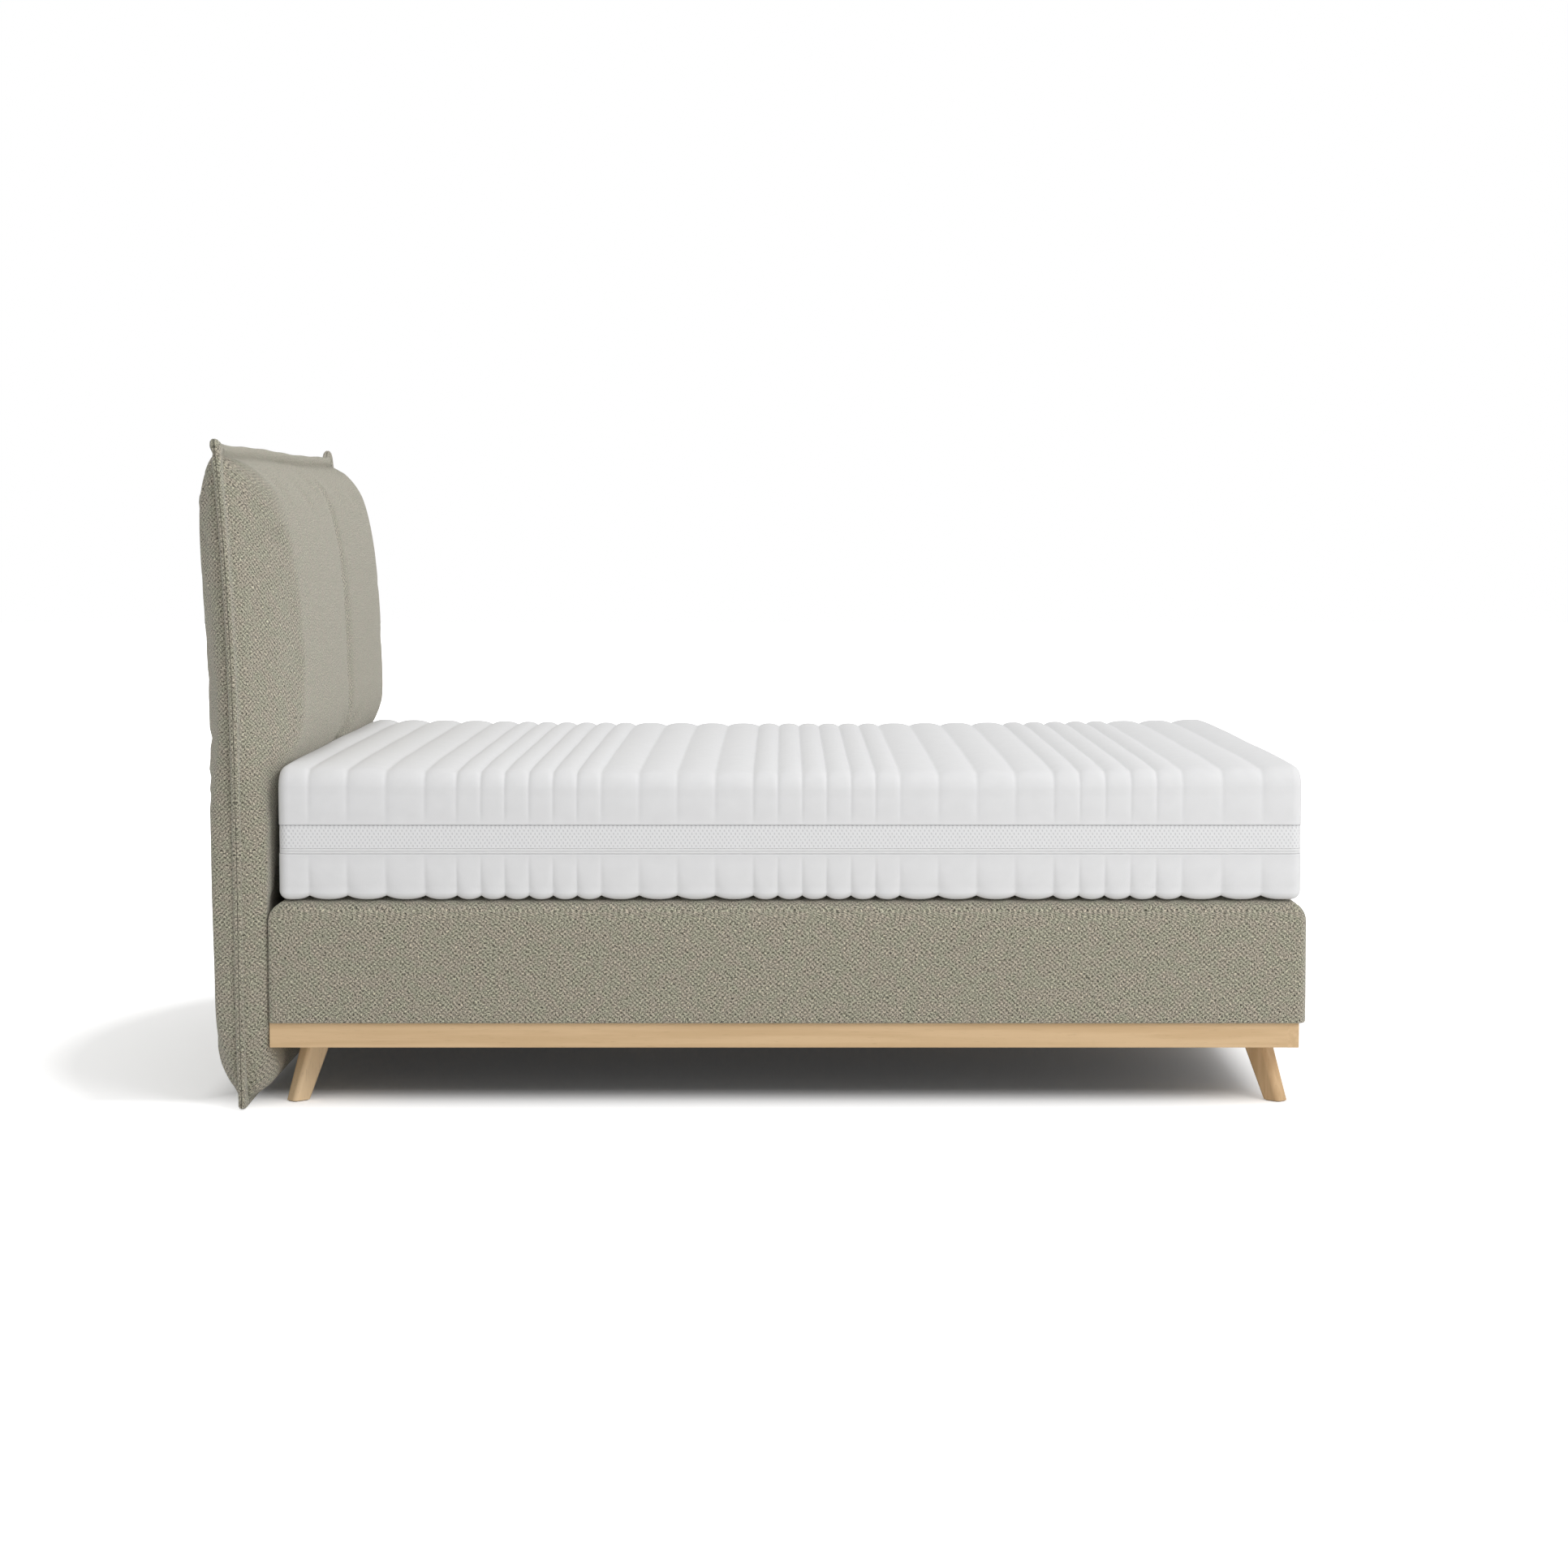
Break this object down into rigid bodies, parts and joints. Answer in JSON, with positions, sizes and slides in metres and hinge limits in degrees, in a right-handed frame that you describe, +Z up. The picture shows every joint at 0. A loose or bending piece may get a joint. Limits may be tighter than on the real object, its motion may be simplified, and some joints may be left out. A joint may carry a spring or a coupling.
{
  "type": "box spring bed",
  "caption": "Upholstered box spring bed with a pillow-shaped headboard, an oak plinth on splayed legs and a quilted mattress with a zipped cover.",
  "frame": {"origin": "centre of the bed's outline on the floor", "axes": "+X from the headboard to the foot, +Y from the near side to the far side, +Z up"},
  "size_m": [2.171, 1.65, 1.309],
  "materials": {
    "oak": "clear matt oil on pale oak",
    "frame_timber": "sawn and planed softwood",
    "slat_timber": "planed softwood slats",
    "plywood": "sanded plywood",
    "fittings": "bright zinc plating",
    "felt": "pressed needle felt",
    "pocket_cloth": "spunbonded pocket cloth",
    "foam": "open-cell foam",
    "upholstery": "matt loop weave in two greige yarns",
    "dust_cloth": "black spunbonded cloth",
    "quilt": "soft double jersey, quilted",
    "mesh": "open spacer mesh",
    "zip_cloth": "fine woven tape",
    "zip_coil": "white nylon coil",
    "zip_metal": "white enamel",
    "core_foam": "cold-cure foam"
  },
  "bodies": {
    "bed_base": {"plinth_rail_foot": "oak", "plinth_rail_head": "oak", "plinth_rail_near": "oak", "plinth_rail_far": "oak", "leg_near_head": "oak", "leg_near_foot": "oak", "leg_far_head": "oak", "leg_far_foot": "oak", "centre_legs": "oak", "plinth_centre_beam": "frame_timber", "plinth_corner_blocks": "frame_timber", "box_head_board": "frame_timber", "box_foot_board": "frame_timber", "box_side_board_near": "frame_timber", "box_side_board_far": "frame_timber", "box_corner_posts": "frame_timber", "box_ledgers": "frame_timber", "box_centre_bearer": "frame_timber", "headboard_post_near": "frame_timber", "headboard_post_far": "frame_timber", "headboard_cross_rails": "frame_timber", "box_slats": "slat_timber", "headboard_panel": "plywood", "leg_plates": "fittings", "plate_screws": "fittings", "leg_hanger_bolts": "fittings", "box_bolts": "fittings", "headboard_bolts": "fittings", "headboard_tee_nuts": "fittings", "leg_glides": "felt", "box_spring_base": "felt", "box_felt_pad": "felt", "box_pocket_springs": "pocket_cloth", "box_top_foam": "foam", "headboard_foam_front": "foam", "headboard_foam_back": "foam", "box_cover": "upholstery", "headboard_cover_front": "upholstery", "headboard_cover_back": "upholstery", "box_dust_cover": "dust_cloth"},
    "mattress": {"mattress_core": "core_foam", "mattress_cover_top": "quilt", "mattress_cover_bottom": "quilt", "mattress_border_band": "mesh", "zip_tape": "zip_cloth", "zip_chain": "zip_coil"},
    "zip_slider": {"zip_slider": "zip_metal"},
    "zip_pull": {"zip_pull": "zip_metal"}
  },
  "joints": [
    {"name": "mattress_lift", "type": "slide", "parent": "bed_base", "child": "mattress", "axis": [0.5, 0, 0.866], "range_m": [0, 0.4]},
    {"name": "zip_run", "type": "slide", "parent": "mattress", "child": "zip_slider", "axis": [0, -1, 0], "range_m": [0, 1.4]},
    {"name": "zip_pull_swing", "type": "hinge", "parent": "zip_slider", "child": "zip_pull", "pos_m": [1.07774, 0.7, 0.5088], "axis": [0, 0, 1], "range_deg": [0, 180]}
  ]
}
